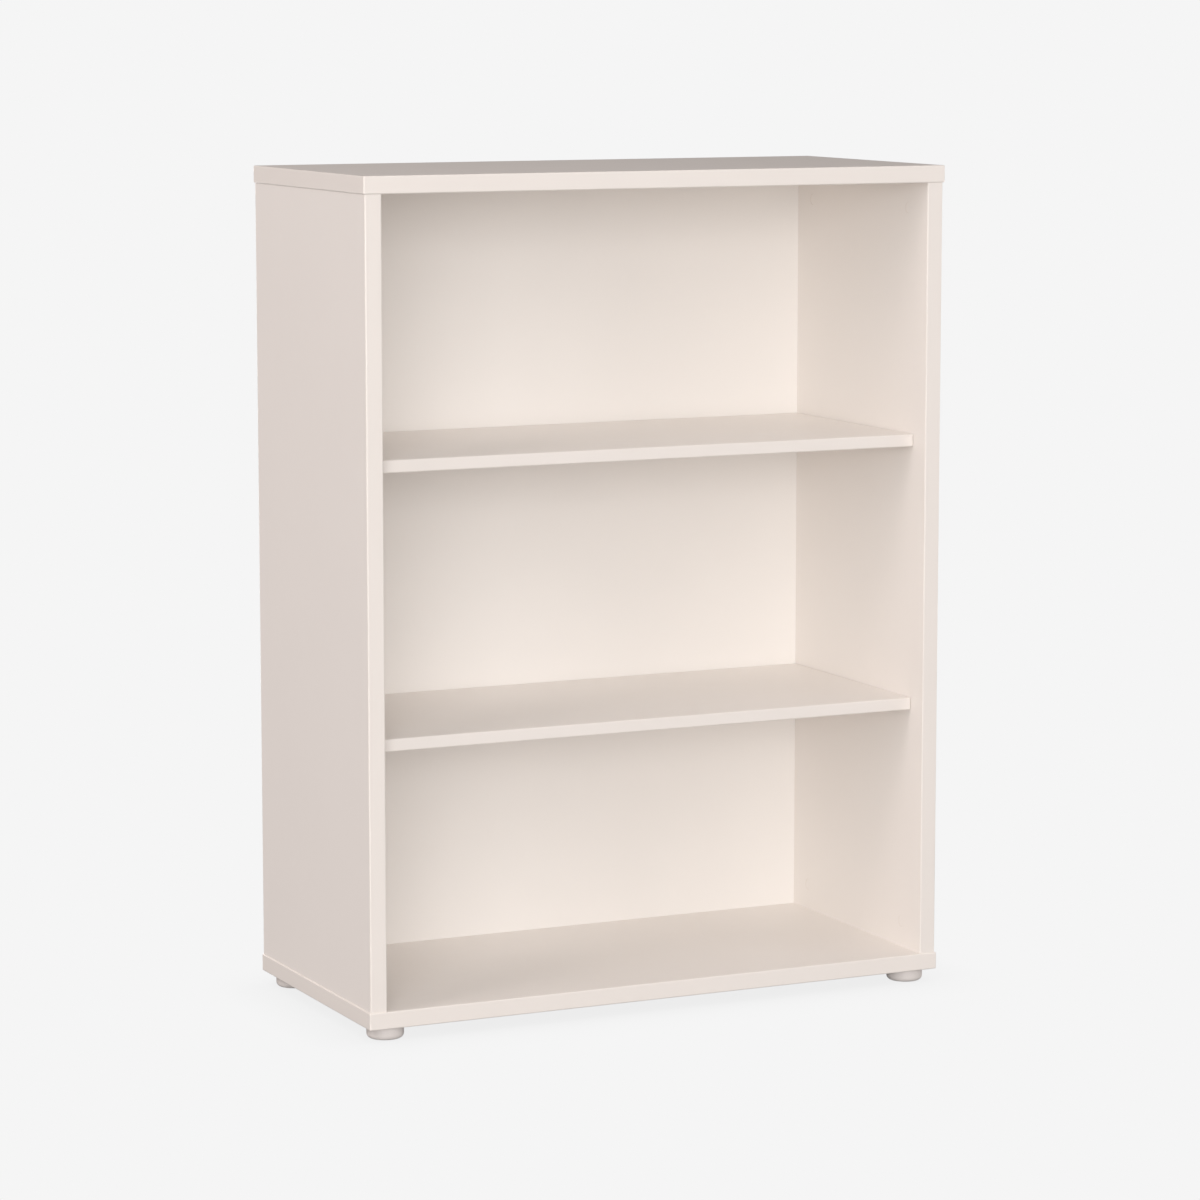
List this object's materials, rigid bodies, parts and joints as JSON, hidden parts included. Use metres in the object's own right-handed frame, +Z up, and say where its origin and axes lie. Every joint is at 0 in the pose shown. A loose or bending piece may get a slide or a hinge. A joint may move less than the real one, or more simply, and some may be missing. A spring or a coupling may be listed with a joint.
{
  "type": "bookcase",
  "caption": "Open bookcase with a back, two loose shelves on pins and round feet, built from banded boards joined by cam locks and dowels.",
  "frame": {"origin": "on the floor, under the middle of the bookcase's width and depth", "axes": "+Z up, -Y out of the open front, +X to the right seen from the front"},
  "size_m": [0.804, 0.372, 1.0685],
  "materials": {
    "board_face": "smooth cream melamine face on particle board",
    "back_face": "smooth cream lacquered hardboard",
    "edge_band": "satin cream edge band",
    "foot_plastic": "satin moulded plastic",
    "cap_plastic": "satin cream moulded plastic",
    "beech_dowel": "bare fluted beech",
    "cam_zinc": "die-cast zinc",
    "zinc_plated_steel": "zinc-plated steel",
    "nickel_steel": "nickel-plated steel"
  },
  "bodies": {
    "carcass": {"back_panel": "back_face", "bottom_left_cam_bolts": "zinc_plated_steel", "bottom_left_cam_locks": "cam_zinc", "bottom_left_cover_caps": "cap_plastic", "bottom_left_dowels": "beech_dowel", "bottom_panel": "board_face", "bottom_panel_front_edge_band": "edge_band", "bottom_panel_left_edge_band": "edge_band", "bottom_panel_rear_edge_band": "edge_band", "bottom_panel_right_edge_band": "edge_band", "bottom_right_cam_bolts": "zinc_plated_steel", "bottom_right_cam_locks": "cam_zinc", "bottom_right_cover_caps": "cap_plastic", "bottom_right_dowels": "beech_dowel", "foot_screws": "zinc_plated_steel", "front_left_foot": "foot_plastic", "front_right_foot": "foot_plastic", "left_side_front_edge_band": "edge_band", "left_side_panel": "board_face", "left_side_rear_edge_band": "edge_band", "lower_shelf_pins": "nickel_steel", "rear_left_foot": "foot_plastic", "rear_right_foot": "foot_plastic", "right_side_front_edge_band": "edge_band", "right_side_panel": "board_face", "right_side_rear_edge_band": "edge_band", "top_left_cam_bolts": "zinc_plated_steel", "top_left_cam_locks": "cam_zinc", "top_left_cover_caps": "cap_plastic", "top_left_dowels": "beech_dowel", "top_panel": "board_face", "top_panel_front_edge_band": "edge_band", "top_panel_left_edge_band": "edge_band", "top_panel_rear_edge_band": "edge_band", "top_panel_right_edge_band": "edge_band", "top_right_cam_bolts": "zinc_plated_steel", "top_right_cam_locks": "cam_zinc", "top_right_cover_caps": "cap_plastic", "top_right_dowels": "beech_dowel", "upper_shelf_pins": "nickel_steel"},
    "lower_shelf_body": {"lower_shelf": "board_face", "lower_shelf_front_edge_band": "edge_band", "lower_shelf_left_edge_band": "edge_band", "lower_shelf_rear_edge_band": "edge_band", "lower_shelf_right_edge_band": "edge_band"},
    "upper_shelf_body": {"upper_shelf": "board_face", "upper_shelf_front_edge_band": "edge_band", "upper_shelf_left_edge_band": "edge_band", "upper_shelf_rear_edge_band": "edge_band", "upper_shelf_right_edge_band": "edge_band"}
  },
  "joints": [
    {"name": "upper_shelf_slide", "type": "slide", "parent": "carcass", "child": "upper_shelf_body", "axis": [0, -1, 0], "range_m": [0, 0.36]},
    {"name": "lower_shelf_slide", "type": "slide", "parent": "carcass", "child": "lower_shelf_body", "axis": [0, -1, 0], "range_m": [0, 0.36]}
  ]
}
